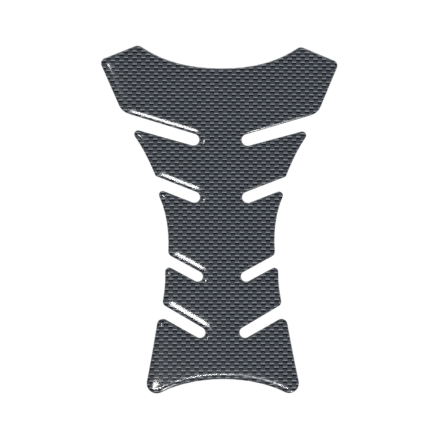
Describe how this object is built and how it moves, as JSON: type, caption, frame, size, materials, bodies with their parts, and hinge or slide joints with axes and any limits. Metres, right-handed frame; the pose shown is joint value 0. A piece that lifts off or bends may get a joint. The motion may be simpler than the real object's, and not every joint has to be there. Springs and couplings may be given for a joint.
{
  "type": "motorcycle tank pad",
  "caption": "Spine-shaped protective pad for a fuel tank: a clear domed resin on a carbon-look printed self-adhesive film, with a horned head and angled side slots.",
  "frame": {"origin": "under the middle of the pad's outline, on its adhesive face", "axes": "+Z out of the adhesive face through the film and the dome, +Y along the centreline towards the horned head, +X to the right as seen from the front"},
  "size_m": [0.143, 0.2098, 0.0023],
  "materials": {
    "carbon_print": "matt vinyl film printed with a grey and black carbon weave",
    "clear_resin": "clear glossy polyurethane resin"
  },
  "bodies": {
    "root": {"printed_film": "carbon_print", "clear_dome": "clear_resin"}
  },
  "joints": []
}
